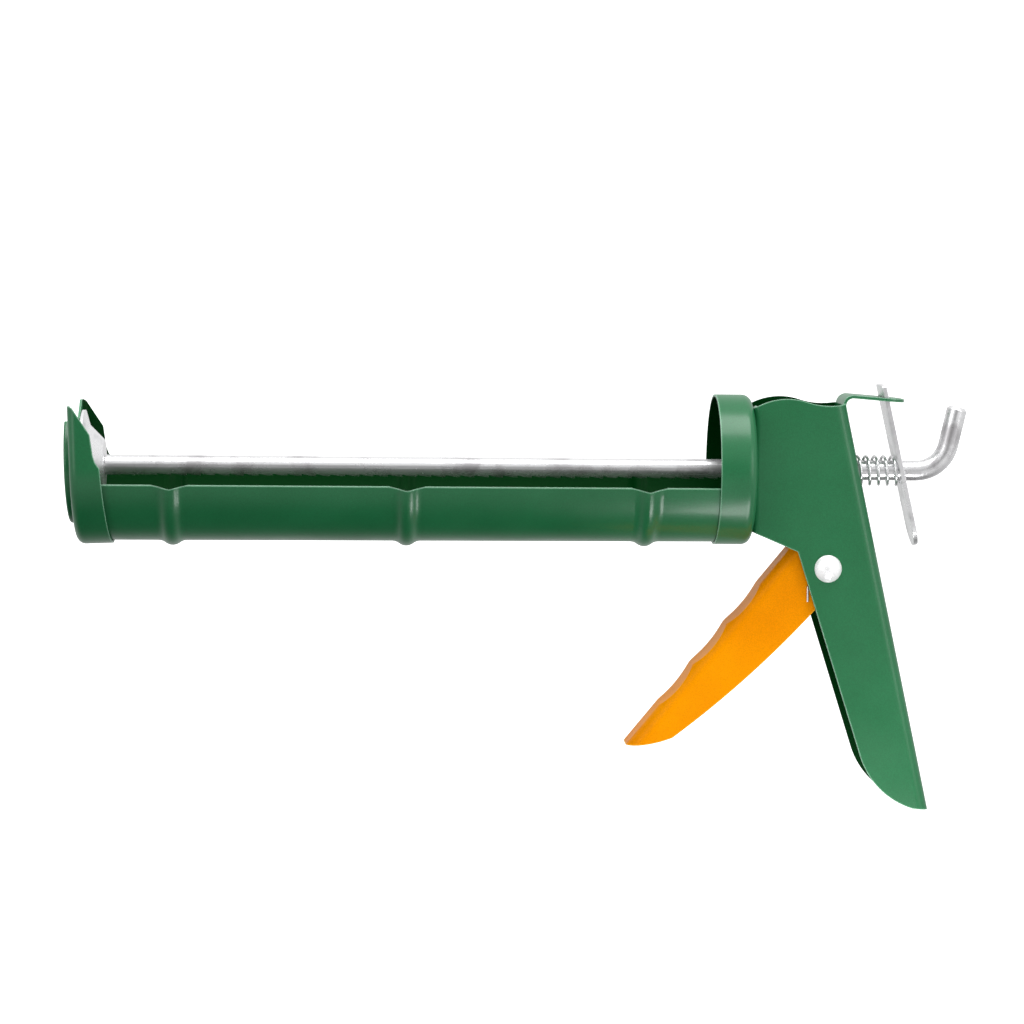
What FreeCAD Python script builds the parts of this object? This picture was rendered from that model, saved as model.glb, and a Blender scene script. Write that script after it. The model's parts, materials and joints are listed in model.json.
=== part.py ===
import FreeCAD, Part
import math
import os

# Half-barrel ratchet caulking gun for standard cartridges.
# Millimetres. The rod's axis is the X axis, +X to the rear (hook), -X to the
# nozzle, +Z up. The origin is on the rod's axis, at the back face of the rear ring.

V = FreeCAD.Vector
AXIS_X = V(1, 0, 0)
AXIS_Y = V(0, 1, 0)
ORIGIN = V(0, 0, 0)

# ---- sheet and clearances ----
barrel_sheet = 1.0
cup_sheet = 0.8
frame_sheet = 1.2
trigger_sheet = 1.2
running_fit = 0.1
loose_gap = 0.4
cut_over = 2.0
match = 0.01
parallel_match = 0.0001

# ---- barrel, cap and ring ----
barrel_length = 253.1
barrel_radius = 27.0
barrel_flare = 0.8
barrel_edge_drop = 3.78
barrel_twist = 3.5
barrel_front_gap = 2.5
barrel_rear_gap = 0.4
rib_height = 1.8
rib_width = 10.5
rib_from_front = 36.7
rib_from_rear = 39.4
rib_middle_shift = -1.1
rib_edge_dip = 1.4
rib_edge_dip_half = 6.5
cap_gap = 0.75
cap_tilt = 2.0
cap_depth = 12.9
cap_slant = 3.5
cap_corner = 3.0
cap_boss_radius = 21.5
cap_boss_height = 2.5
ear_tip_height = 22.8
ear_tip_width = 2.0
ear_knee_height = 12.4
ear_knee_width = 8.0
ear_foot_height = 4.6
ear_foot_width = 9.6
ear_ease = 0.7
nozzle_slot_width = 22.0
nozzle_mouth_width = 26.0
nozzle_mouth_height = 16.5
nozzle_mouth_ease = 2.2
ring_length = 13.5
ring_corner = 3.4

# ---- rod and piston ----
rod_diameter = 7.5
rod_hole_gap = 0.6
tooth_pitch = 5.33
tooth_depth = 1.0
tooth_ramp_share = 0.86
tooth_start_gap = 19.2
tooth_end = 29.5
hook_start = 62.3
hook_radius = 12.2
hook_lean = 12.6
hook_arm = 14.7
hook_chamfer = 1.0
piston_from_cap = 10.7
piston_sheet = 1.0
piston_boss_radius = 9.2
piston_cone_radius = 14.8
piston_cone_depth = 5.6
piston_rim_radius = 20.2
piston_rim_depth = 1.6
piston_bend = 1.2
spigot_diameter = 5.0
washer_diameter = 11.0
washer_thickness = 1.2
peen_diameter = 8.0
peen_height = 1.4

# ---- handle frame ----
frame_width = 25.0
frame_corner = 4.4
flange_corner = 2.2
flange_gap = 11.0
head_front_top = 23.4
head_front_bottom = -22.4
head_crown_x = 11.0
head_crown_z = 26.9
head_dip_x = 26.5
head_dip_z = 24.5
head_wave_x = 20.0
head_wave_z = 25.7
spine_top_x = 34.3
spine_top_z = 25.2
spine_lean = 12.5
grip_throat_x = 17.0
grip_throat_z = -29.6
grip_lean = 17.9
grip_heel_z = -105.9
grip_belly_x = 51.0
grip_belly_z = -119.8
grip_toe_x = 61.6
grip_toe_z = -125.5
grip_tip_z = -126.2
tongue_side = 1.4
tongue_bend = 2.6
tongue_top = 28.4
tongue_droop = 4.5
tongue_end = 56.8
tongue_end_radius = 7.0
weld_rivet_diameter = 3.2
weld_rivet_head = 5.6
weld_rivet_head_height = 0.8
weld_rivet_edge = 4.3
weld_rivet_z = 14.0

# ---- latch plate and its spring ----
latch_width = 15.6
latch_thickness = 1.55
latch_tilt = 13.0
latch_on_axis = 56.0
latch_top = 5.4
latch_bottom = 27.8
latch_corner = 1.2
latch_hole_gap = 0.7
latch_hole_extra = 1.7
latch_hole_rise = 0.3
latch_slot_gap = 0.5
latch_wire = 1.1
latch_spring_gap = 0.95
latch_coils = 4.5

# ---- trigger, pawl and their springs ----
pivot_x = 28.3
pivot_z = -35.8
pivot_diameter = 6.0
pivot_head_diameter = 10.2
pivot_head_height = 2.7
trigger_side_gap = 1.6
trigger_nose = 4.6
trigger_tip_x = -45.4
trigger_tip_z = -102.8
trigger_front_top_x = 15.8
trigger_front_top_z = -27.6
trigger_back_top_x = 24.0
trigger_back_top_z = -51.6
trigger_back_low_x = -28.3
trigger_back_low_z = -99.6
trigger_back_bow = 1.7
trigger_heel_x = -37.6
trigger_heel_z = -102.2
groove_count = 3
groove_depth = 1.3
groove_first = 28.4
groove_pitch = 19.7
groove_length = 19.2
arm_radius = 20.4
arm_lead = 19.0
arm_eye = 4.4
hub_eye = 8.5
pawl_pin_diameter = 3.5
pawl_side_room = 5.5
pawl_eye = 3.5
pawl_tip_clear = 1.5
pawl_tip_width = 2.4
pawl_tip_lead = 6.6
pawl_tip_drop = 1.0
pawl_wire = 0.8
pawl_coils = 2.5
pawl_spring_start = 20.0
pawl_leg_up = 5.6
pawl_leg_down = 7.7
return_wire = 0.8
return_coils = 3.2
return_leg_x = 21.2
return_leg_top = -42.9
return_leg_bottom = -48.4
return_back_leg = 15.5

# ---- worked out from the above ----
rod_radius = rod_diameter / 2
cap_front = -barrel_length + cap_boss_height
cap_inner = cap_front + cup_sheet
cap_inner_radius = barrel_radius + barrel_flare + cap_gap
cap_outer_radius = cap_inner_radius + cup_sheet
ring_inner_radius = barrel_radius + running_fit
ring_front = -ring_length
rod_hole_radius = rod_radius + rod_hole_gap
spine_slope = math.tan(math.radians(spine_lean))
spine_bottom_x = spine_top_x + (spine_top_z - grip_tip_z) * spine_slope
frame_inner = frame_width / 2 - frame_sheet
weld_rivet_y = frame_width / 2 - weld_rivet_edge
piston_back = cap_inner + piston_from_cap
piston_front = piston_back - piston_cone_depth - piston_rim_depth
latch_hole_width = rod_diameter + 2 * latch_hole_gap
latch_hole_height = latch_hole_width + latch_hole_extra
latch_spring_diameter = rod_diameter + 2 * (latch_spring_gap + latch_wire)
latch_slope = math.tan(math.radians(latch_tilt))
tongue_width = latch_width + 2 * (latch_slot_gap + tongue_side)
tongue_slope = math.tan(math.radians(tongue_droop))
tongue_bend_z = tongue_top - tongue_bend - frame_sheet
tongue_bend_x = (spine_top_x + (spine_top_z - tongue_bend_z) * spine_slope
                 + tongue_bend * math.cos(math.radians(spine_lean)))
tongue_middle = tongue_bend_z + (tongue_bend + frame_sheet / 2) / math.cos(math.radians(tongue_droop))
latch_pivot_z = ((tongue_middle - (latch_on_axis - tongue_bend_x) * tongue_slope)
                 / (1 - latch_slope * tongue_slope))
latch_pivot_x = latch_on_axis - latch_pivot_z * latch_slope
pawl_pin_x = pivot_x + arm_radius * math.sin(math.radians(arm_lead))
pawl_pin_z = pivot_z + arm_radius * math.cos(math.radians(arm_lead))
trigger_width = 2 * (frame_inner - trigger_side_gap)
trigger_inner = trigger_width / 2 - trigger_sheet
pawl_width = 2 * (trigger_inner - pawl_side_room)


def polar(centre_x, centre_z, radius, degrees):
    """A point in the XZ plane, at an angle from +X towards +Z."""
    a = math.radians(degrees)
    return V(centre_x + radius * math.cos(a), 0, centre_z + radius * math.sin(a))


def line(a, b):
    return Part.LineSegment(a, b).toShape()


def arc(a, middle, b):
    return Part.Arc(a, middle, b).toShape()


def bowed(a, b, bow):
    """An arc from a to b in the XZ plane, its middle bow to the left of a to b."""
    along = b.sub(a).normalize()
    middle = a.add(b).multiply(0.5)
    return arc(a, middle.add(V(-along.z, 0, along.x).multiply(bow)), b)


def across(edges, half_width):
    """Extrude a closed XZ outline from -half_width to +half_width in Y."""
    face = Part.Face(Part.Wire(edges))
    face.translate(V(0, -half_width, 0))
    return face.extrude(V(0, 2 * half_width, 0))


def polygon_across(points, half_width):
    corners = [V(x, 0, z) for x, z in points]
    closed = corners[1:] + corners[:1]
    return across([line(a, b) for a, b in zip(corners, closed)], half_width)


def block(x0, x1, y0, y1, z0, z1):
    return Part.makeBox(x1 - x0, y1 - y0, z1 - z0, V(x0, y0, z0))


def rod_x(radius, x0, x1, y=0.0, z=0.0):
    return Part.makeCylinder(radius, x1 - x0, V(x0, y, z), AXIS_X)


def pin_y(radius, y0, y1, x, z):
    return Part.makeCylinder(radius, y1 - y0, V(x, y0, z), AXIS_Y)


def dome(radius, height, base, direction):
    """A spherical cap of the given base radius and height."""
    ball = (radius * radius + height * height) / (2 * height)
    along = V(direction)
    sphere = Part.makeSphere(ball, base.add(V(along).multiply(height - ball)))
    return sphere.common(Part.makeCylinder(radius + cut_over, height + cut_over, base, along))


def revolve_x(edges, start, sweep):
    """Revolve an XZ outline about the X axis, from start degrees."""
    face = Part.Face(Part.Wire(edges))
    face.rotate(ORIGIN, AXIS_X, start)
    return face.revolve(ORIGIN, AXIS_X, sweep)


def edges_where(shape, test):
    return [e for e in shape.Edges if test(e)]


def spine_x(z):
    """The outer (rear) face of the spine at height z."""
    return spine_top_x + (spine_top_z - z) * spine_slope


# ---- barrel ----

def rib_middles():
    first = cap_front + rib_from_front
    last = -rib_from_rear
    return [first, (first + last) / 2 + rib_middle_shift, last]


def rib_edges(middle, radius, inset):
    """The four arcs of one swaged rib on a wall line, inset from the outer skin."""
    quarter = rib_width / 4
    half_turn = 2 * math.atan(rib_height / (rib_width / 2))
    bend = quarter / math.sin(half_turn)
    foot = bend + inset
    crest = bend - inset
    edges = []
    start = V(middle - 2 * quarter, 0, radius)
    for side in (-1, 1):
        foot_centre = V(middle + side * 2 * quarter, 0, radius + foot)
        crest_centre = V(middle, 0, radius + inset + rib_height - bend)
        swing = V(math.sin(half_turn), 0, math.cos(half_turn))
        half = V(math.sin(half_turn / 2), 0, math.cos(half_turn / 2))
        foot_middle = V(foot_centre.x - side * foot * half.x, 0, foot_centre.z - foot * half.z)
        meet = V(crest_centre.x + side * crest * swing.x, 0, crest_centre.z + crest * swing.z)
        crest_middle = V(crest_centre.x + side * crest * half.x, 0, crest_centre.z + crest * half.z)
        crest_top = V(middle, 0, crest_centre.z + crest)
        foot_end = V(foot_centre.x, 0, radius)
        if side < 0:
            edges += [arc(start, foot_middle, meet), arc(meet, crest_middle, crest_top)]
        else:
            edges += [arc(crest_top, crest_middle, meet), arc(meet, foot_middle, foot_end)]
    return edges


def barrel_wall(front, rear, radius, inset):
    """The wall line from front to rear, straight between the ribs."""
    edges = []
    at = V(front, 0, radius)
    for middle in rib_middles():
        edges.append(line(at, V(middle - rib_width / 2, 0, radius)))
        edges += rib_edges(middle, radius, inset)
        at = V(middle + rib_width / 2, 0, radius)
    edges.append(line(at, V(rear, 0, radius)))
    return edges


def barrel_trough():
    front = cap_inner + barrel_front_gap
    rear = -ring_corner - barrel_rear_gap
    inner = barrel_radius - barrel_sheet
    outline = barrel_wall(front, rear, barrel_radius, 0.0)
    outline += barrel_wall(front, rear, inner, barrel_sheet)
    outline.append(line(V(front, 0, inner), V(front, 0, barrel_radius)))
    outline.append(line(V(rear, 0, inner), V(rear, 0, barrel_radius)))
    flare = math.degrees(math.atan(barrel_flare / (rear - front)))
    for edge in outline:
        edge.rotate(V(rear, 0, barrel_radius), AXIS_Y, flare)
    outline = Part.__sortEdges__(outline)
    half_angle = math.degrees(math.acos(barrel_edge_drop / barrel_radius))
    trough = revolve_x(outline, 180 - half_angle, 2 * half_angle)
    for middle in rib_middles():
        dip = polygon_across(
            [(middle - rib_edge_dip_half, -barrel_edge_drop + cut_over),
             (middle - rib_edge_dip_half, -barrel_edge_drop),
             (middle, -barrel_edge_drop - rib_edge_dip),
             (middle + rib_edge_dip_half, -barrel_edge_drop),
             (middle + rib_edge_dip_half, -barrel_edge_drop + cut_over)],
            barrel_radius + rib_height + cut_over)
        trough = trough.cut(dip)
    trough.rotate(ORIGIN, AXIS_X, barrel_twist)
    return trough


# ---- front cap ----

def u_prism(radius, x0, x1, top):
    """A half-round bottom with straight sides up to top, along X."""
    low = V(x0, 0, -radius)
    left = V(x0, -radius, 0)
    right = V(x0, radius, 0)
    edges = [arc(left, low, right), line(right, V(x0, radius, top)),
             line(V(x0, radius, top), V(x0, -radius, top)), line(V(x0, -radius, top), left)]
    return Part.Face(Part.Wire(edges)).extrude(V(x1 - x0, 0, 0))


def cap_side_limits():
    """The side view that trims the cap: slanted skirt, knee and pointed ears."""
    bottom = -cap_outer_radius - cut_over
    rear_low = cap_front + cap_depth
    slope = math.tan(math.radians(cap_slant))
    rear_mid = rear_low - cap_outer_radius * slope
    front = cap_front - cap_boss_height - cut_over
    return polygon_across(
        [(front, bottom), (rear_low + cut_over * slope, bottom), (rear_mid, 0),
         (cap_front + ear_foot_width, ear_foot_height / 2),
         (cap_front + ear_foot_width - ear_ease, ear_foot_height),
         (cap_front + ear_knee_width, ear_knee_height),
         (cap_front + ear_tip_width, ear_tip_height - ear_ease),
         (cap_front + ear_tip_width / 2, ear_tip_height),
         (front, ear_tip_height)],
        cap_outer_radius + cut_over)


def nozzle_slot():
    """The U slot for the nozzle, with a mouth that flares out to the ears."""
    radius = nozzle_slot_width / 2
    x0 = cap_front - cap_boss_height - cut_over
    length = cap_boss_height + cup_sheet + 2 * cut_over
    ear_inner = cap_inner_radius - cup_sheet
    mouth_foot = nozzle_mouth_height - nozzle_mouth_ease
    outline = [V(x0, -radius, 0), V(x0, -radius, mouth_foot),
               V(x0, -nozzle_mouth_width / 2, nozzle_mouth_height),
               V(x0, -ear_inner, ear_tip_height + cut_over),
               V(x0, ear_inner, ear_tip_height + cut_over),
               V(x0, nozzle_mouth_width / 2, nozzle_mouth_height),
               V(x0, radius, mouth_foot), V(x0, radius, 0)]
    edges = [line(a, b) for a, b in zip(outline, outline[1:])]
    edges.append(arc(outline[-1], V(x0, 0, -radius), outline[0]))
    return Part.Face(Part.Wire(edges)).extrude(V(length, 0, 0))


def front_cap():
    top = ear_tip_height + cut_over
    rear = cap_front + cap_depth + cut_over
    outer = u_prism(cap_outer_radius, cap_front, rear, top)
    rim = edges_where(outer, lambda e: abs(e.BoundBox.XMax - cap_front) < match
                      and e.BoundBox.ZMin < top - match)
    outer = outer.makeFillet(cap_corner, rim)
    inner = u_prism(cap_inner_radius, cap_inner, rear + cut_over, top + cut_over)
    inner_rim = edges_where(inner, lambda e: abs(e.BoundBox.XMax - cap_inner) < match
                            and e.BoundBox.ZMin < top - match)
    cup = outer.cut(inner.makeFillet(cap_corner - cup_sheet, inner_rim))
    boss = rod_x(cap_boss_radius, cap_front - cap_boss_height, cap_front + cup_sheet / 2)
    face_x = cap_front - cap_boss_height
    face_edge = edges_where(boss, lambda e: abs(e.BoundBox.XMax - face_x) < match)
    boss = boss.makeFillet(cup_sheet, face_edge)
    recess = rod_x(cap_boss_radius - cup_sheet, cap_inner - cap_boss_height, cap_inner + cut_over)
    cup = cup.fuse(boss).cut(recess)
    cap = cup.common(cap_side_limits()).cut(nozzle_slot()).removeSplitter()
    cap.rotate(V(cap_front, 0, ear_tip_height), AXIS_Y, -cap_tilt)
    return cap


# ---- rear ring ----

def weld_rivet_places():
    return [(y, z) for y in (-weld_rivet_y, weld_rivet_y) for z in (-weld_rivet_z, weld_rivet_z)]


def rear_ring():
    outer = rod_x(ring_inner_radius + cup_sheet, ring_front, 0)
    back_edge = edges_where(outer, lambda e: abs(e.BoundBox.XMin) < match)
    outer = outer.makeFillet(ring_corner, back_edge)
    inner = rod_x(ring_inner_radius, ring_front - cut_over, -cup_sheet)
    inner_edge = edges_where(inner, lambda e: abs(e.BoundBox.XMin + cup_sheet) < match)
    inner = inner.makeFillet(ring_corner - cup_sheet, inner_edge)
    ring = outer.cut(inner).cut(rod_x(rod_hole_radius, -ring_length, cut_over))
    for y, z in weld_rivet_places():
        ring = ring.cut(rod_x(weld_rivet_diameter / 2, -ring_length, cut_over, y, z))
    return ring


def ring_rivets():
    """Four rivets that join the handle's front flanges to the ring's back."""
    rivets = []
    head = weld_rivet_head / 2
    for y, z in weld_rivet_places():
        shank = rod_x(weld_rivet_diameter / 2, -cup_sheet, frame_sheet, y, z)
        front = dome(head, weld_rivet_head_height, V(-cup_sheet, y, z), V(-1, 0, 0))
        back = dome(head, weld_rivet_head_height, V(frame_sheet, y, z), AXIS_X)
        rivets.append(shank.fuse([front, back]).removeSplitter())
    return Part.makeCompound(rivets)


# ---- handle frame ----

def frame_outline(inset, over):
    """Side view of the folded handle. inset moves the spine line forward, and
    over carries the front, top and bottom past the sheet's own edges."""
    slant = inset / math.cos(math.radians(spine_lean))
    top = V(spine_top_x - slant, 0, spine_top_z)
    tip = V(spine_bottom_x - slant, 0, grip_tip_z)
    if over > 0:
        rise = V(-spine_slope * over, 0, over)
        top = top.add(rise)
        tip = tip.sub(rise)
        corners = [top, tip, V(-over, 0, tip.z), V(-over, 0, top.z)]
        return [line(a, b) for a, b in zip(corners, corners[1:] + corners[:1])]
    throat = V(grip_throat_x, 0, grip_throat_z)
    heel_x = grip_throat_x + (grip_throat_z - grip_heel_z) * math.tan(math.radians(grip_lean))
    heel = V(heel_x, 0, grip_heel_z)
    toe = V(grip_toe_x, 0, grip_toe_z)
    low = V(0, 0, head_front_bottom)
    high = V(0, 0, head_front_top)
    wave = V(head_wave_x, 0, head_wave_z)
    return [line(top, tip), line(tip, toe),
            arc(toe, V(grip_belly_x, 0, grip_belly_z), heel),
            line(heel, throat), line(throat, low), line(low, high),
            arc(high, V(head_crown_x, 0, head_crown_z), wave),
            arc(wave, V(head_dip_x, 0, head_dip_z), top)]


def long_edges(shape, lean_x, half):
    """Edges at y = +-half that run the whole height, with the given lean."""
    def runs(e):
        box = e.BoundBox
        side = abs(abs(box.YMin) - half) < match and box.YLength < match
        leaning = abs(box.XLength - lean_x * box.ZLength) < match
        return side and leaning and box.ZLength > frame_width
    return edges_where(shape, runs)


def tongue():
    """The rear tongue that the spine's sheet turns into, drooping to the rear."""
    outer_bend = tongue_bend + frame_sheet

    def on_bend(radius, degrees):
        return polar(tongue_bend_x, tongue_bend_z, radius, degrees)
    first = 180 + spine_lean
    last = 90 - tongue_droop
    drop = V(spine_slope, 0, -1).multiply(outer_bend)
    start_in = on_bend(tongue_bend, first)
    start_out = on_bend(outer_bend, first)
    top_in = on_bend(tongue_bend, last)
    top_out = on_bend(outer_bend, last)
    end_in = top_in.add(V(1, 0, -tongue_slope).multiply(tongue_end - top_in.x))
    end_out = top_out.add(V(1, 0, -tongue_slope).multiply(tongue_end - top_out.x))
    edges = [line(start_in.add(drop), start_in),
             arc(start_in, on_bend(tongue_bend, (first + last) / 2), top_in),
             line(top_in, end_in), line(end_in, end_out), line(end_out, top_out),
             arc(top_out, on_bend(outer_bend, (first + last) / 2), start_out),
             line(start_out, start_out.add(drop)),
             line(start_out.add(drop), start_in.add(drop))]
    sheet = across(edges, tongue_width / 2)
    corners = edges_where(sheet, lambda e: abs(e.BoundBox.XMin - tongue_end) < match
                          and e.BoundBox.YLength < match)
    sheet = sheet.makeFillet(tongue_end_radius, corners)
    reach = latch_thickness / 2 / math.cos(math.radians(latch_tilt))
    half = reach + frame_sheet * latch_slope + latch_slot_gap
    side = latch_width / 2 + latch_slot_gap
    slot = block(latch_pivot_x - half, latch_pivot_x + half, -side, side,
                 latch_pivot_z - frame_sheet - cut_over, latch_pivot_z + frame_sheet + cut_over)
    return sheet.cut(slot)


def handle_frame():
    half = frame_width / 2
    body = across(frame_outline(0.0, 0.0), half)
    body = body.makeFillet(frame_corner, long_edges(body, spine_slope, half))
    body = body.makeFillet(flange_corner, long_edges(body, 0.0, half))
    inside = across(frame_outline(frame_sheet, cut_over), frame_inner)
    inside = inside.makeFillet(frame_corner - frame_sheet,
                               long_edges(inside, spine_slope, frame_inner))
    inside = inside.cut(block(-2 * cut_over, frame_sheet, -half, half,
                              grip_tip_z - 2 * cut_over, spine_top_z + 2 * cut_over))
    body = body.cut(inside)
    gap = flange_gap / 2
    body = body.cut(block(-cut_over, frame_sheet + match, -gap, gap, grip_tip_z, spine_top_z + cut_over))
    body = body.fuse(tongue())
    body = body.cut(rod_x(rod_hole_radius, frame_sheet + cut_over, spine_x(-rod_hole_radius) + cut_over))
    body = body.cut(pin_y(pivot_diameter / 2, -half - cut_over, half + cut_over, pivot_x, pivot_z))
    for y, z in weld_rivet_places():
        body = body.cut(rod_x(weld_rivet_diameter / 2, -cut_over, frame_sheet + cut_over, y, z))
    return body.removeSplitter()


def trigger_pivot_rivet():
    half = frame_width / 2
    shank = pin_y(pivot_diameter / 2, -half, half, pivot_x, pivot_z)
    near = dome(pivot_head_diameter / 2, pivot_head_height, V(pivot_x, -half, pivot_z), V(0, -1, 0))
    far = dome(pivot_head_diameter / 2, pivot_head_height, V(pivot_x, half, pivot_z), AXIS_Y)
    return shank.fuse([near, far]).removeSplitter()


# ---- rod, piston ----

def tooth_fronts():
    first = piston_back + tooth_start_gap
    count = int((tooth_end - first) / tooth_pitch)
    return [first + i * tooth_pitch for i in range(count)]


def ratchet_rod():
    """Rod with saw teeth below, a swivelling spigot in front and a bent hook behind."""
    shoulder = piston_back + running_fit
    straight = rod_x(rod_radius, shoulder, hook_start)
    turn = 90 - hook_lean
    centre = V(hook_start, 0, hook_radius)
    disc = Part.Face(Part.Wire(Part.makeCircle(rod_radius, V(hook_start, 0, 0), AXIS_X)))
    bend = disc.revolve(centre, V(0, -1, 0), turn)
    lean = math.radians(hook_lean)
    arm_start = centre.add(V(hook_radius * math.cos(lean), 0, -hook_radius * math.sin(lean)))
    arm = Part.makeCylinder(rod_radius, hook_arm, arm_start, V(math.sin(lean), 0, math.cos(lean)))
    end_z = arm_start.z + hook_arm * math.cos(lean)
    end_edge = edges_where(arm, lambda e: e.BoundBox.Center.z > end_z - hook_chamfer
                           and e.BoundBox.YLength > rod_radius and e.BoundBox.ZLength < rod_radius)
    arm = arm.makeChamfer(hook_chamfer, end_edge)
    rod = straight.fuse([bend, arm])
    crest = -rod_radius
    ramp = tooth_pitch * tooth_ramp_share
    notches = []
    for x in tooth_fronts():
        notches.append(polygon_across(
            [(x, crest - tooth_depth), (x, crest + tooth_depth), (x + ramp, crest),
             (x + ramp, crest - tooth_depth)],
            rod_diameter))
    rod = rod.cut(Part.makeCompound(notches))
    boss_front = piston_back - piston_sheet
    washer_front = boss_front - washer_thickness
    spigot = rod_x(spigot_diameter / 2, washer_front, shoulder)
    peen = dome(peen_diameter / 2, peen_height, V(washer_front - running_fit, 0, 0), V(-1, 0, 0))
    neck = rod_x(spigot_diameter / 2, washer_front - running_fit, washer_front)
    return rod.fuse([spigot, neck, peen]).removeSplitter()


def piston_plate():
    """A pressed hat disc: flat boss at the rear, cone and rim towards the cartridge."""
    def skin(shift):
        cone_x = piston_back - piston_cone_depth
        return [V(piston_back - shift, 0, spigot_diameter / 2 + running_fit),
                V(piston_back - shift, 0, piston_boss_radius - shift / 2),
                V(cone_x - shift, 0, piston_cone_radius - shift / 2),
                V(piston_front - shift, 0, piston_rim_radius)]
    rear = skin(0.0)
    front = skin(piston_sheet)
    ring = rear + front[::-1]
    edges = [line(a, b) for a, b in zip(ring, ring[1:] + ring[:1])]
    plate = revolve_x(edges, 0, 360)

    def bends(e):
        box = e.BoundBox
        flat = box.XLength < match
        return flat and box.XMin > piston_front + match and box.YMax > spigot_diameter
    return plate.makeFillet(piston_bend, edges_where(plate, bends))


def piston_washer():
    rear = piston_back - piston_sheet - running_fit / 2
    disc = rod_x(washer_diameter / 2, rear - washer_thickness + running_fit, rear)
    return disc.cut(rod_x(spigot_diameter / 2 + running_fit, rear - 2 * washer_thickness, rear + cut_over))


# ---- latch plate and spring ----

def latch_plate():
    """Built upright about its pivot, then tilted with its top forward."""
    half = latch_width / 2
    bottom = -(latch_pivot_z + latch_bottom) / math.cos(math.radians(latch_tilt))
    x0 = -latch_thickness / 2
    low = bottom + half
    edges = [line(V(x0, half, low), V(x0, half, latch_top)),
             line(V(x0, half, latch_top), V(x0, -half, latch_top)),
             line(V(x0, -half, latch_top), V(x0, -half, low)),
             arc(V(x0, -half, low), V(x0, 0, bottom), V(x0, half, low))]
    plate = Part.Face(Part.Wire(edges)).extrude(V(latch_thickness, 0, 0))
    corners = edges_where(plate, lambda e: e.BoundBox.ZMin > latch_top - match
                          and e.BoundBox.YLength < match)
    plate = plate.makeFillet(latch_corner, corners)
    hole_z = -latch_pivot_z / math.cos(math.radians(latch_tilt)) + latch_hole_rise
    round_part = latch_hole_width / 2
    spread = (latch_hole_height - latch_hole_width) / 2
    reach = latch_thickness
    plate = plate.cut(rod_x(round_part, -reach, reach, 0, hole_z - spread))
    plate = plate.cut(rod_x(round_part, -reach, reach, 0, hole_z + spread))
    plate = plate.cut(block(-reach, reach, -round_part, round_part, hole_z - spread, hole_z + spread))
    plate.rotate(ORIGIN, AXIS_Y, -latch_tilt)
    plate.translate(V(latch_pivot_x, 0, latch_pivot_z))
    return plate


def coil(wire, radius, pitch, turns):
    """A helical wire about +Z from the origin."""
    helix = Part.makeHelix(pitch, pitch * turns, radius)
    section = Part.Wire(Part.makeCircle(wire / 2, V(radius, 0, 0), AXIS_Y))
    return Part.Wire(helix.Edges).makePipeShell([section], True, True)


def latch_spring():
    """Starts at the top against the leaning spine and ends at the bottom on the latch."""
    radius = (latch_spring_diameter - latch_wire) / 2
    side = latch_wire / 2 / math.cos(math.radians(latch_tilt)) + 2 * running_fit
    latch_front = latch_on_axis - latch_thickness / 2 / math.cos(math.radians(latch_tilt))
    touch = spine_x(-radius) + side
    leave = latch_front - radius * latch_slope - side
    pitch = (leave - touch) / (latch_coils - 1)
    spring = coil(latch_wire, radius, pitch, latch_coils)
    spring.rotate(ORIGIN, AXIS_Y, 90)
    spring.rotate(ORIGIN, AXIS_X, 180)
    spring.translate(V(touch - pitch / 2, 0, 0))
    return spring


# ---- trigger ----

def trigger_front():
    """Top and tip of the trigger's front line, and the unit vectors along and out of it."""
    top = V(trigger_front_top_x, 0, trigger_front_top_z)
    tip = V(trigger_tip_x, 0, trigger_tip_z)
    along = tip.sub(top).normalize()
    return top, tip, along, V(along.z, 0, -along.x)


def trigger_blade():
    """Side view of the finger lever."""
    top, tip, along, outward = trigger_front()
    back_top = V(trigger_back_top_x, 0, trigger_back_top_z)
    back_low = V(trigger_back_low_x, 0, trigger_back_low_z)
    heel = V(trigger_heel_x, 0, trigger_heel_z)
    inside = V(pivot_x, 0, trigger_front_top_z)
    return [line(top, tip), arc(tip, heel, back_low), bowed(back_low, back_top, -trigger_back_bow),
            line(back_top, inside), line(inside, top)]


def trigger_hollow():
    """The channel behind the web, open at the back and at both ends."""
    top, tip, along, outward = trigger_front()
    reach = V(along).multiply(2 * trigger_width)
    top = top.sub(V(outward).multiply(trigger_sheet)).sub(reach)
    tip = tip.sub(V(outward).multiply(trigger_sheet)).add(reach)
    deep = V(outward).multiply(-4 * trigger_width)
    return [line(top, tip), line(tip, tip.add(deep)), line(tip.add(deep), top.add(deep)),
            line(top.add(deep), top)]


def front_corners(shape, half):
    """The two long edges where the web meets the side walls."""
    top, tip, along, outward = trigger_front()

    def runs(e):
        if len(e.Vertexes) < 2:
            return False
        a, b = (v.Point for v in e.Vertexes)
        flat = abs(abs(a.y) - half) < match and abs(abs(b.y) - half) < match and a.y * b.y > 0
        line_up = abs(abs(b.sub(a).normalize().dot(along)) - 1) < parallel_match
        front = max(outward.dot(a.sub(top)), outward.dot(b.sub(top))) > -2 * trigger_sheet
        return flat and line_up and front
    return edges_where(shape, runs)


def finger_grooves(deeper):
    """Cylinders across the front that press the finger grooves into the web."""
    top, tip, along, outward = trigger_front()
    radius = (groove_length * groove_length / 4 + groove_depth * groove_depth) / (2 * groove_depth)
    cutters = []
    for i in range(groove_count):
        at = top.add(V(along).multiply(groove_first + i * groove_pitch))
        centre = at.add(V(outward).multiply(radius - groove_depth))
        cutters.append(pin_y(radius + deeper, -trigger_width, trigger_width, centre.x, centre.z))
    return Part.makeCompound(cutters)


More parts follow.
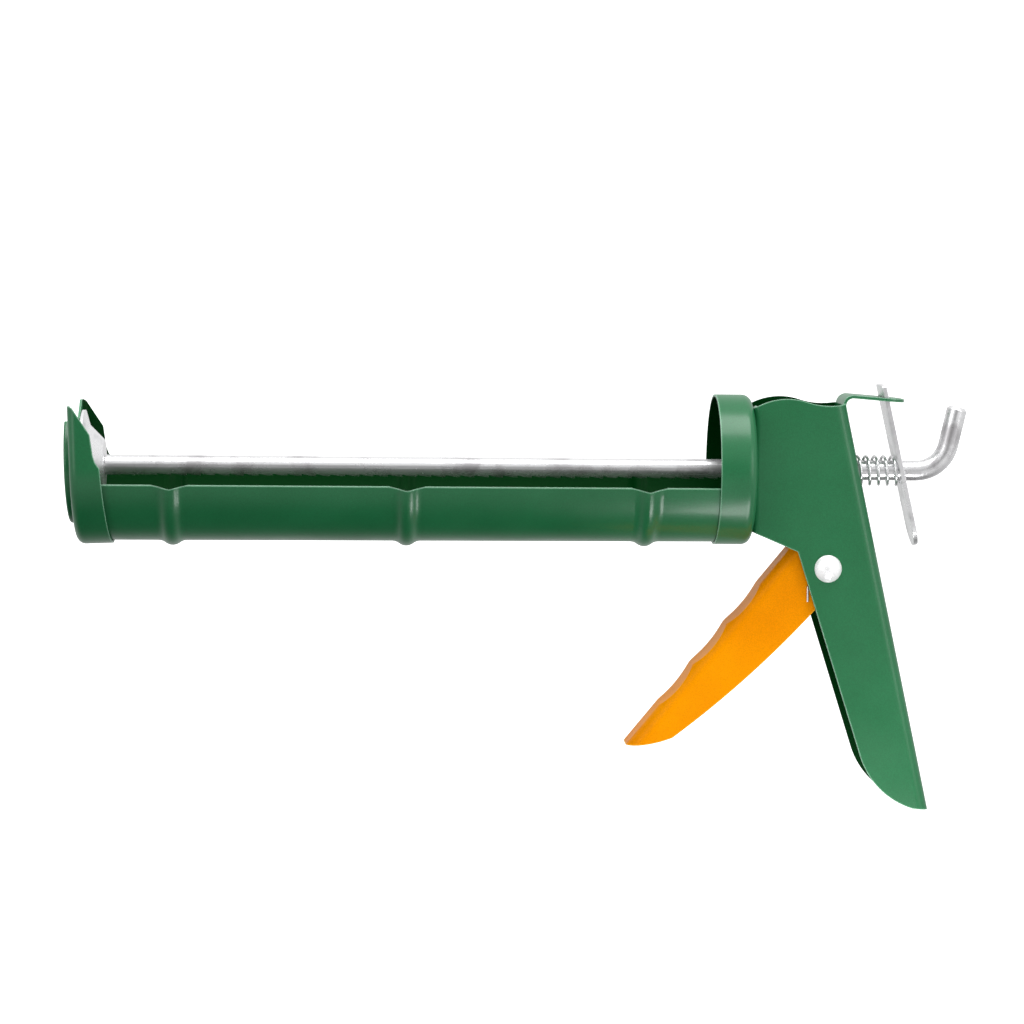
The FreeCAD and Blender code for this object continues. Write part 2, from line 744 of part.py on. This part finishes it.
def trigger_cheeks(half):
    """The side walls inside the head, from the hub up to the pawl pin."""
    hub = pin_y(hub_eye, -half, half, pivot_x, pivot_z)
    eye = pin_y(arm_eye, -half, half, pawl_pin_x, pawl_pin_z)
    lean = math.radians(arm_lead)
    cos = math.cos(lean)
    sin = math.sin(lean)
    arm = polygon_across(
        [(pivot_x - hub_eye * cos, pivot_z + hub_eye * sin),
         (pawl_pin_x - arm_eye * cos, pawl_pin_z + arm_eye * sin),
         (pawl_pin_x + arm_eye * cos, pawl_pin_z - arm_eye * sin),
         (pivot_x + hub_eye * cos, pivot_z - hub_eye * sin)], half)
    return hub.fuse([eye, arm])


def trigger():
    half = trigger_width / 2
    blade = across(trigger_blade(), half)
    blade = blade.makeFillet(trigger_nose, front_corners(blade, half))
    hollow = across(trigger_hollow(), trigger_inner)
    hollow = hollow.makeFillet(trigger_nose - trigger_sheet, front_corners(hollow, trigger_inner))
    blade = blade.cut(finger_grooves(0.0)).cut(hollow.cut(finger_grooves(trigger_sheet)))
    reach = 2 * hub_eye + arm_radius
    between = block(pivot_x - reach, pivot_x + reach, -trigger_inner, trigger_inner,
                    pivot_z - hub_eye - cut_over, pivot_z + reach)
    cheeks = trigger_cheeks(half).cut(between)
    body = blade.fuse(cheeks)
    over = half + cut_over
    body = body.cut(pin_y(pivot_diameter / 2 + running_fit, -over, over, pivot_x, pivot_z))
    body = body.cut(pin_y(pawl_pin_diameter / 2, -over, over, pawl_pin_x, pawl_pin_z))
    body = body.cut(pin_y(return_wire / 2 + running_fit, -over, 0, return_leg_x, return_leg_top))
    return body.removeSplitter()


# ---- pawl, its pin and the springs ----

def drive_pawl():
    """A flat pawl on its pin, its tip just under the rod's teeth."""
    half = pawl_width / 2
    tip_z = -rod_radius - pawl_tip_clear
    tip_x = pawl_pin_x - pawl_tip_lead
    eye = pin_y(pawl_eye, -half, half, pawl_pin_x, pawl_pin_z)
    arm = polygon_across(
        [(tip_x, tip_z), (tip_x, tip_z - pawl_tip_width),
         (pawl_pin_x - pawl_eye, pawl_pin_z), (pawl_pin_x, pawl_pin_z - pawl_eye / 2),
         (pawl_pin_x + pawl_eye, pawl_pin_z), (tip_x + pawl_tip_width, tip_z - pawl_tip_drop)], half)
    bore = (pawl_pin_diameter + running_fit) / 2
    hole = pin_y(bore, -half - cut_over, half + cut_over, pawl_pin_x, pawl_pin_z)
    return eye.fuse(arm).cut(hole).removeSplitter()


def pawl_pin():
    return pin_y(pawl_pin_diameter / 2, -trigger_width / 2, trigger_width / 2, pawl_pin_x, pawl_pin_z)


def straight_wire(diameter, a, b):
    return Part.makeCylinder(diameter / 2, b.sub(a).Length, a, b.sub(a))


def bent_wire(diameter, points):
    """Wire through the points, rounded on its own thickness where it turns."""
    pieces = []
    at = points[0]
    for before, corner, after in zip(points, points[1:], points[2:]):
        back = before.sub(corner).normalize()
        ahead = after.sub(corner).normalize()
        between = back.getAngle(ahead)
        enter = corner.add(V(back).multiply(diameter / math.tan(between / 2)))
        leave = corner.add(V(ahead).multiply(diameter / math.tan(between / 2)))
        middle = back.add(ahead).normalize().multiply(diameter / math.sin(between / 2))
        disc = Part.Face(Part.Wire(Part.makeCircle(diameter / 2, enter, back)))
        turn = 180 - math.degrees(between)
        pieces.append(straight_wire(diameter, at, enter))
        pieces.append(disc.revolve(corner.add(middle), ahead.cross(back), turn))
        at = leave
    pieces.append(straight_wire(diameter, at, points[-1]))
    return pieces


def torsion_coil(wire, radius, turns, start_angle, centre):
    """A close coil about an axis along Y. Gives the solid, then where each end is and
    the way the wire runs there."""
    helix = Part.makeHelix(wire + 2 * running_fit, (wire + 2 * running_fit) * turns, radius)
    helix.rotate(ORIGIN, AXIS_X, -90)
    helix.rotate(ORIGIN, AXIS_Y, -start_angle)
    helix.translate(centre)
    run = helix.Edges[0]
    start = run.valueAt(run.FirstParameter)
    start_way = run.tangentAt(run.FirstParameter)
    end = run.valueAt(run.LastParameter)
    end_way = run.tangentAt(run.LastParameter)
    section = Part.Wire(Part.makeCircle(wire / 2, start, start_way))
    solid = Part.Wire(helix.Edges).makePipeShell([section], True, True)
    return solid, start, start_way, end, end_way


def pawl_spring():
    """A small torsion spring on the pawl pin, beside the pawl."""
    radius = (pawl_pin_diameter + pawl_wire) / 2 + loose_gap
    centre = V(pawl_pin_x, (pawl_width + pawl_wire) / 2 + loose_gap, pawl_pin_z)
    turns, start, start_way, end, end_way = torsion_coil(
        pawl_wire, radius, pawl_coils, pawl_spring_start, centre)
    up = straight_wire(pawl_wire, start.sub(start_way.multiply(pawl_leg_up)), start)
    down = straight_wire(pawl_wire, end, end.add(end_way.multiply(pawl_leg_down)))
    return turns.fuse([up, down]).removeSplitter()


def trigger_return_spring():
    """A torsion spring on the rivet; one leg hooks out through the near wall."""
    radius = (pivot_diameter + return_wire) / 2 + loose_gap
    hook = V(return_leg_x - pivot_x, 0, return_leg_top - pivot_z)
    bearing = math.degrees(math.atan2(hook.z, hook.x)) + 360
    start_angle = bearing - math.degrees(math.acos(radius / hook.Length))
    centre = V(pivot_x, return_wire / 2 + 2 * loose_gap - trigger_inner, pivot_z)
    turns, start, start_way, end, end_way = torsion_coil(
        return_wire, radius, return_coils, start_angle, centre)
    corner = start.add(V(start_way).multiply((return_leg_top - start.z) / start_way.z))
    outside = -trigger_width / 2 - return_wire / 2 - running_fit
    hooked = bent_wire(return_wire, [V(return_leg_x, outside, return_leg_bottom),
                                     V(return_leg_x, outside, corner.z), corner, start])
    back = straight_wire(return_wire, end, end.add(end_way.multiply(return_back_leg)))
    return turns.fuse(hooked + [back]).removeSplitter()


NODES = {
    "barrel_trough": barrel_trough,
    "front_cap": front_cap,
    "rear_ring": rear_ring,
    "ring_rivets": ring_rivets,
    "handle_frame": handle_frame,
    "trigger_pivot_rivet": trigger_pivot_rivet,
    "ratchet_rod": ratchet_rod,
    "piston_plate": piston_plate,
    "piston_washer": piston_washer,
    "latch_plate": latch_plate,
    "latch_spring": latch_spring,
    "trigger": trigger,
    "drive_pawl": drive_pawl,
    "pawl_pin": pawl_pin,
    "pawl_spring": pawl_spring,
    "trigger_return_spring": trigger_return_spring,
}

os.makedirs("parts", exist_ok=True)
for name, make in NODES.items():
    shape = make()
    print(name, shape.isValid(), len(shape.Solids), round(shape.Volume, 1))
    shape.exportStep("parts/" + name + ".step")
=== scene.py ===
"""Looks for the half-barrel ratchet caulking gun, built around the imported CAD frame.

Everything is in metres in the CAD frame: the rod lies on X, +X towards the hook,
the origin is on the rod's axis at the back face of the rear ring.
"""

import json
import math

import bmesh
import bpy
from mathutils import Matrix, Vector


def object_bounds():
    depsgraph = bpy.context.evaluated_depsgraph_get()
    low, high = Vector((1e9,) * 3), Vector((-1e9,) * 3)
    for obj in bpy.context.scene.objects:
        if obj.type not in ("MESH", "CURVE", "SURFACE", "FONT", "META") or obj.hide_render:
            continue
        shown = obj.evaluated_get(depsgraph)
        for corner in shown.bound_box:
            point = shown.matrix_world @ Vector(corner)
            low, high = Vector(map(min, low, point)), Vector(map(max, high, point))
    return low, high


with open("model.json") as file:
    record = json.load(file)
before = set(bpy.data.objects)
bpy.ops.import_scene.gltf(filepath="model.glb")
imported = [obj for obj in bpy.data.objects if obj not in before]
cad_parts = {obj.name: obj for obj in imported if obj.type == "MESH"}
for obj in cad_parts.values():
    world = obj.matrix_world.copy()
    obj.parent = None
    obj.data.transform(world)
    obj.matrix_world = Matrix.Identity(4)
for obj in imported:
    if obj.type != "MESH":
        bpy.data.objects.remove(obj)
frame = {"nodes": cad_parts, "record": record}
CAD_LOW, CAD_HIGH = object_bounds()
NODES = frame["nodes"]
MM = 0.001

# ---- the view ----
CAMERA_PLACE = (-0.1394, -1.171, 0.0819)
CAMERA_YAW = 2.49
CAMERA_PITCH = -4.80
CAMERA_ROLL = 0.6
CAMERA_LENS = 111.2
CAMERA_SENSOR = 36.0

# ---- the room ----
FLOOR_DROP = 0.30
ROOM_RADIUS = 4.0
ROOM_HEIGHT = 4.0
COVE_RADIUS = 1.5
DARK_GAP = (-0.11, -0.99, 0.07)


# ---------------------------------------------------------------- materials

def new_material(name):
    material = bpy.data.materials.new(name)
    material.use_nodes = True
    tree = material.node_tree
    tree.nodes.clear()
    output = tree.nodes.new("ShaderNodeOutputMaterial")
    shader = tree.nodes.new("ShaderNodeBsdfPrincipled")
    tree.links.new(shader.outputs[0], output.inputs[0])
    return material, tree, shader


def node(tree, kind, **settings):
    made = tree.nodes.new(kind)
    for key, value in settings.items():
        if key in made.inputs:
            made.inputs[key].default_value = value
        else:
            setattr(made, key, value)
    return made


def object_space(tree):
    return tree.nodes.new("ShaderNodeTexCoord").outputs["Object"]


def noise(tree, vector, scale, detail=3.0, rough=0.5, distortion=0.0):
    made = node(tree, "ShaderNodeTexNoise", Scale=scale, Detail=detail, Roughness=rough,
                Distortion=distortion)
    tree.links.new(vector, made.inputs["Vector"])
    return made.outputs["Fac"]


def ramp(tree, factor, stops):
    made = tree.nodes.new("ShaderNodeValToRGB")
    elements = made.color_ramp.elements
    while len(elements) < len(stops):
        elements.new(0.5)
    for element, (place, colour) in zip(elements, stops):
        element.position = place
        element.color = (*colour, 1.0)
    tree.links.new(factor, made.inputs["Fac"])
    return made.outputs["Color"]


def spread(tree, factor, low, high, from_low=0.3, from_high=0.7):
    """Map a factor from its usual range onto low..high."""
    made = node(tree, "ShaderNodeMapRange", clamp=True)
    made.inputs["From Min"].default_value = from_low
    made.inputs["From Max"].default_value = from_high
    made.inputs["To Min"].default_value = low
    made.inputs["To Max"].default_value = high
    tree.links.new(factor, made.inputs["Value"])
    return made.outputs["Result"]


def mix_colour(tree, factor, a, b, blend="MIX"):
    made = node(tree, "ShaderNodeMix", data_type="RGBA", blend_type=blend)
    for socket, value in ((made.inputs[0], factor), (made.inputs[6], a), (made.inputs[7], b)):
        if isinstance(value, bpy.types.NodeSocket):
            tree.links.new(value, socket)
        elif isinstance(value, tuple):
            socket.default_value = (*value, 1.0)
        else:
            socket.default_value = value
    return made.outputs[2]


def math_node(tree, operation, a, b):
    made = node(tree, "ShaderNodeMath", operation=operation)
    for socket, value in zip(made.inputs, (a, b)):
        if isinstance(value, bpy.types.NodeSocket):
            tree.links.new(value, socket)
        else:
            socket.default_value = value
    return made.outputs[0]


def bump(tree, heights, normal=None):
    """Chain bumps from (height, strength, distance) rows."""
    for height, strength, distance in heights:
        made = node(tree, "ShaderNodeBump", Strength=strength, Distance=distance)
        tree.links.new(height, made.inputs["Height"])
        if normal is not None:
            tree.links.new(normal, made.inputs["Normal"])
        normal = made.outputs["Normal"]
    return normal


def edge_mask(tree, radius, low, high):
    """1 where the surface turns sharply within radius, 0 on open faces."""
    rounded = node(tree, "ShaderNodeBevel", samples=6, Radius=radius)
    flat = tree.nodes.new("ShaderNodeNewGeometry").outputs["Normal"]
    made = node(tree, "ShaderNodeVectorMath", operation="DOT_PRODUCT")
    tree.links.new(rounded.outputs[0], made.inputs[0])
    tree.links.new(flat, made.inputs[1])
    return spread(tree, made.outputs["Value"], 1.0, 0.0, low, high)


def inward_shade_mask(tree, place, across_only):
    """1 on faces that look in towards the rod's axis (or, across only, towards the middle
    plane); these faces are given painted shade, a near-black green, and less gloss."""
    cut = (0.0, 1.0, 0.0) if across_only else (0.0, 1.0, 1.0)
    out = node(tree, "ShaderNodeVectorMath", operation="MULTIPLY")
    out.inputs[1].default_value = cut
    tree.links.new(place, out.inputs[0])
    facing = node(tree, "ShaderNodeVectorMath", operation="DOT_PRODUCT")
    tree.links.new(out.outputs["Vector"], facing.inputs[0])
    tree.links.new(tree.nodes.new("ShaderNodeNewGeometry").outputs["True Normal"], facing.inputs[1])
    return spread(tree, facing.outputs["Value"], 1.0, 0.0, -0.006, -0.001)


def paint(name, deep, main, pale, edge_highlight_and_thin_paint, gloss, coat, rough_low, rough_high, peel,
          inside_painted_shade=None, across_only=False):
    """Sprayed enamel on steel: fine orange peel, faint cloudiness, specks, a painted highlight on
    edges (partly thinner paint) and painted shade on faces that look towards the axis.
    """
    material, tree, shader = new_material(name)
    place = object_space(tree)
    clouds = noise(tree, place, 22.0, 3.0)
    grain = noise(tree, place, 2600.0, 2.0, 0.6)
    specks = noise(tree, place, 900.0, 1.0, 0.5)
    body = ramp(tree, clouds, [(0.3, deep), (0.5, main), (0.72, pale)])
    shade = ramp(tree, grain, [(0.3, (0.86, 0.86, 0.86)), (0.7, (1.12, 1.12, 1.12))])
    body = mix_colour(tree, 1.0, body, shade, "MULTIPLY")
    dust = spread(tree, specks, 0.0, 0.35, 0.72, 0.76)
    body = mix_colour(tree, dust, body, pale)
    # Edges are mixed towards the pale edge colour: mostly a painted highlight on rounded edges,
    # partly thinner paint.
    edges = edge_mask(tree, 0.0009, 0.80, 0.98)
    body = mix_colour(tree, math_node(tree, "MULTIPLY", edges, 0.9), body, edge_highlight_and_thin_paint)
    if inside_painted_shade is not None:
        # Faces that look towards the axis get a near-black green as painted shade, and their gloss
        # is taken down.
        inward_shade = inward_shade_mask(tree, place, across_only)
        body = mix_colour(tree, inward_shade, body, inside_painted_shade)
        tree.links.new(spread(tree, inward_shade, gloss, 0.06, 0.0, 1.0),
                       shader.inputs["Specular IOR Level"])
        tree.links.new(spread(tree, inward_shade, coat, 0.0, 0.0, 1.0), shader.inputs["Coat Weight"])
    else:
        shader.inputs["Specular IOR Level"].default_value = gloss
        shader.inputs["Coat Weight"].default_value = coat
    tree.links.new(body, shader.inputs["Base Color"])
    tree.links.new(spread(tree, noise(tree, place, 60.0, 4.0), rough_low, rough_high),
                   shader.inputs["Roughness"])
    shader.inputs["Coat Roughness"].default_value = 0.2
    shader.inputs["IOR"].default_value = 1.5
    rounded = node(tree, "ShaderNodeBevel", samples=6, Radius=0.00035)
    waves = noise(tree, place, 420.0, 2.0)
    tree.links.new(bump(tree, [(waves, peel, 0.00012), (grain, peel * 0.6, 0.00003)],
                        rounded.outputs[0]), shader.inputs["Normal"])
    return material


def plated(name, base, dull, metal, rough_low, rough_high, brush, stretch, pits):
    """Bright plated steel: drawn lines along the part, dull patches, small pits."""
    material, tree, shader = new_material(name)
    place = object_space(tree)
    lines = node(tree, "ShaderNodeMapping")
    lines.inputs["Scale"].default_value = stretch
    tree.links.new(place, lines.inputs["Vector"])
    drawn = noise(tree, lines.outputs["Vector"], 900.0, 3.0, 0.6)
    patches = noise(tree, place, 75.0, 5.0, 0.62, 0.4)
    fine = noise(tree, place, 1500.0, 3.0, 0.6)
    bright = tuple(min(1, c * 1.08) for c in base)
    colour = ramp(tree, patches, [(0.34, dull), (0.5, base), (0.75, bright)])
    pit = spread(tree, fine, 0.0, pits, 0.66, 0.74)
    colour = mix_colour(tree, pit, colour, tuple(c * 0.35 for c in dull))
    tree.links.new(colour, shader.inputs["Base Color"])
    tree.links.new(math_node(tree, "ADD", spread(tree, patches, rough_high, rough_low),
                             spread(tree, drawn, 0.0, 0.08)), shader.inputs["Roughness"])
    shader.inputs["Metallic"].default_value = metal
    rounded = node(tree, "ShaderNodeBevel", samples=6, Radius=0.0003)
    tree.links.new(bump(tree, [(drawn, brush, 0.00004), (fine, brush * 0.8, 0.00003)],
                        rounded.outputs[0]), shader.inputs["Normal"])
    return material


# Green enamel: the pale edge colour is mostly a painted highlight, partly thinner paint; the
# near-black green for faces that look towards the axis is painted shade.
GREEN_LOOK = dict(
    deep=(0.0060, 0.104, 0.034), main=(0.0085, 0.120, 0.041), pale=(0.0120, 0.137, 0.050),
    edge_highlight_and_thin_paint=(0.26, 0.52, 0.35), gloss=0.36, coat=0.26, rough_low=0.30, rough_high=0.40, peel=0.10,
    inside_painted_shade=(0.0, 0.030, 0.004))
EVEN = (1.0, 1.0, 1.0)
DRAWN_ALONG_X = (0.06, 1.0, 1.0)

GREEN = paint("green_enamel", **GREEN_LOOK)
# The handle channel gets the same painted shade, on faces that look across towards its middle
# plane.
GREEN_CHANNEL = paint("green_channel", across_only=True, **GREEN_LOOK)
# Orange enamel: the pale yellow edge colour is mostly a painted highlight, partly thinner paint.
ORANGE = paint(
    "orange_enamel", deep=(0.66, 0.205, 0.0), main=(0.72, 0.235, 0.0), pale=(0.78, 0.275, 0.0),
    edge_highlight_and_thin_paint=(0.96, 0.52, 0.04), gloss=0.03, coat=0.03, rough_low=0.26, rough_high=0.36, peel=0.09)
ZINC = plated(
    "zinc_plate", base=(0.84, 0.84, 0.85), dull=(0.62, 0.62, 0.63), metal=0.85,
    rough_low=0.20, rough_high=0.34, brush=0.20, stretch=EVEN, pits=0.30)
CHROME = plated(
    "bright_rivet", base=(0.96, 0.96, 0.96), dull=(0.86, 0.86, 0.87), metal=0.35,
    rough_low=0.14, rough_high=0.26, brush=0.08, stretch=EVEN, pits=0.25)
ROD = plated(
    "bright_rod", base=(0.76, 0.76, 0.77), dull=(0.44, 0.43, 0.44), metal=0.72,
    rough_low=0.12, rough_high=0.30, brush=0.45, stretch=DRAWN_ALONG_X, pits=0.6)
WIRE = plated(
    "spring_wire", base=(0.84, 0.84, 0.85), dull=(0.58, 0.58, 0.58), metal=0.85,
    rough_low=0.14, rough_high=0.28, brush=0.14, stretch=EVEN, pits=0.25)

FINISH = {
    "green_paint": GREEN, "orange_paint": ORANGE, "zinc_plate": ZINC,
    "bright_rod": ROD, "spring_wire": WIRE,
}
SLOT_OF = {row["node"]: row["material_slot"] for row in frame["record"]["subparts"]}
FINISH_OF_NODE = {"trigger_pivot_rivet": CHROME, "handle_frame": GREEN_CHANNEL}

for name, obj in NODES.items():
    finish = FINISH_OF_NODE.get(name, FINISH[SLOT_OF[name]])
    obj.data.materials.clear()
    obj.data.materials.append(finish)


# ---------------------------------------------------------------- room

def room():
    """A pale round floor that curves up into a wall all the way round."""
    floor_z = CAD_LOW.z - FLOOR_DROP
    steps = 96
    cove = 12
    profile = [(0.0, 0.0), (ROOM_RADIUS - COVE_RADIUS, 0.0)]
    for i in range(1, cove + 1):
        a = math.pi / 2 * i / cove
        profile.append((ROOM_RADIUS - COVE_RADIUS + COVE_RADIUS * math.sin(a),
                        COVE_RADIUS * (1 - math.cos(a))))
    profile.append((ROOM_RADIUS, ROOM_HEIGHT))
    mesh = bmesh.new()
    centre = mesh.verts.new((0, 0, floor_z))
    rings = []
    for radius, height in profile[1:]:
        rings.append([mesh.verts.new((radius * math.cos(2 * math.pi * k / steps),
                                      radius * math.sin(2 * math.pi * k / steps),
                                      floor_z + height)) for k in range(steps)])
    for k in range(steps):
        mesh.faces.new((centre, rings[0][k], rings[0][(k + 1) % steps]))
        for low, high in zip(rings, rings[1:]):
            mesh.faces.new((low[k], high[k], high[(k + 1) % steps], low[(k + 1) % steps]))
    data = bpy.data.meshes.new("room")
    mesh.to_mesh(data)
    mesh.free()
    for face in data.polygons:
        face.use_smooth = True
    obj = bpy.data.objects.new("room", data)
    bpy.context.scene.collection.objects.link(obj)
    material, tree, shader = new_material("pale_floor")
    faint = ramp(tree, noise(tree, object_space(tree), 3.0), [(0.3, (0.90, 0.90, 0.90)),
                                                             (0.7, (0.93, 0.93, 0.93))])
    tree.links.new(faint, shader.inputs["Base Color"])
    shader.inputs["Roughness"].default_value = 0.9
    shader.inputs["Specular IOR Level"].default_value = 0.0
    shader.inputs["Emission Color"].default_value = (1, 1, 1, 1)
    shader.inputs["Emission Strength"].default_value = 0.75
    data.materials.append(material)
    obj.visible_glossy = False
    obj.visible_diffuse = False
    obj.visible_shadow = False


def soft_box(name, place, aim, width, height, radiance):
    """A soft box of a given radiance, so that its reflection has a known brightness."""
    data = bpy.data.lights.new(name, "AREA")
    data.shape = "RECTANGLE"
    data.size = width
    data.size_y = height
    data.energy = radiance * math.pi * width * height
    obj = bpy.data.objects.new(name, data)
    bpy.context.scene.collection.objects.link(obj)
    obj.location = place
    obj.rotation_mode = "QUATERNION"
    obj.rotation_quaternion = (Vector(aim) - Vector(place)).to_track_quat("-Z", "Y")
    obj.visible_camera = False


def surroundings():
    """Studio walls, dark straight below and in the gap between the front soft boxes."""
    world = bpy.data.worlds.new("studio")
    bpy.context.scene.world = world
    world.use_nodes = True
    tree = world.node_tree
    tree.nodes.clear()
    output = tree.nodes.new("ShaderNodeOutputWorld")
    background = tree.nodes.new("ShaderNodeBackground")
    split = tree.nodes.new("ShaderNodeSeparateXYZ")
    direction = tree.nodes.new("ShaderNodeTexCoord").outputs["Generated"]
    tree.links.new(direction, split.inputs[0])
    height = spread(tree, split.outputs["Z"], 0.0, 1.0, -1.0, 1.0)
    grey = ramp(tree, height, [(0.03, (0.05,) * 3), (0.12, (0.36,) * 3), (0.25, (0.66,) * 3),
                               (0.45, (0.76,) * 3), (0.72, (0.82,) * 3), (1.0, (0.85,) * 3)])
    facing = node(tree, "ShaderNodeVectorMath", operation="DOT_PRODUCT")
    facing.inputs[1].default_value = DARK_GAP
    tree.links.new(direction, facing.inputs[0])
    gap = spread(tree, facing.outputs["Value"], 0.0, 0.92, 0.93, 0.985)
    grey = mix_colour(tree, gap, grey, (0.02, 0.02, 0.02))
    tree.links.new(grey, background.inputs["Color"])
    background.inputs["Strength"].default_value = 1.0
    tree.links.new(background.outputs[0], output.inputs[0])


def camera():
    yaw = math.radians(CAMERA_YAW)
    pitch = math.radians(CAMERA_PITCH)
    roll = math.radians(CAMERA_ROLL)
    ahead = Vector((math.sin(yaw) * math.cos(pitch), math.cos(yaw) * math.cos(pitch),
                    math.sin(pitch)))
    right = Vector((math.cos(yaw), -math.sin(yaw), 0))
    up = right.cross(ahead)
    right, up = (right * math.cos(roll) + up * math.sin(roll),
                 up * math.cos(roll) - right * math.sin(roll))
    data = bpy.data.cameras.new("camera")
    data.lens = CAMERA_LENS
    data.sensor_width = CAMERA_SENSOR
    data.clip_start = 0.05
    data.clip_end = 50
    obj = bpy.data.objects.new("camera", data)
    bpy.context.scene.collection.objects.link(obj)
    turn = Matrix((right, up, -ahead)).transposed().to_4x4()
    obj.matrix_world = Matrix.Translation(Vector(CAMERA_PLACE)) @ turn
    bpy.context.scene.camera = obj


room()
surroundings()
camera()
MIDDLE = (CAD_LOW + CAD_HIGH) / 2
soft_box("top", MIDDLE + Vector((0.0, -0.30, 1.25)), MIDDLE,
         width=1.6, height=0.80, radiance=5.0)
soft_box("left", MIDDLE + Vector((-1.15, -1.0, 0.35)), MIDDLE,
         width=0.55, height=0.9, radiance=2.4)
soft_box("right", MIDDLE + Vector((1.25, -1.0, 0.35)), MIDDLE,
         width=0.55, height=0.9, radiance=2.4)
soft_box("ring_kicker", (0.055, -0.13, -0.21), (-0.005, -0.020, -0.012),
         width=0.09, height=0.11, radiance=9.0)
bpy.context.scene.view_settings.view_transform = "Standard"
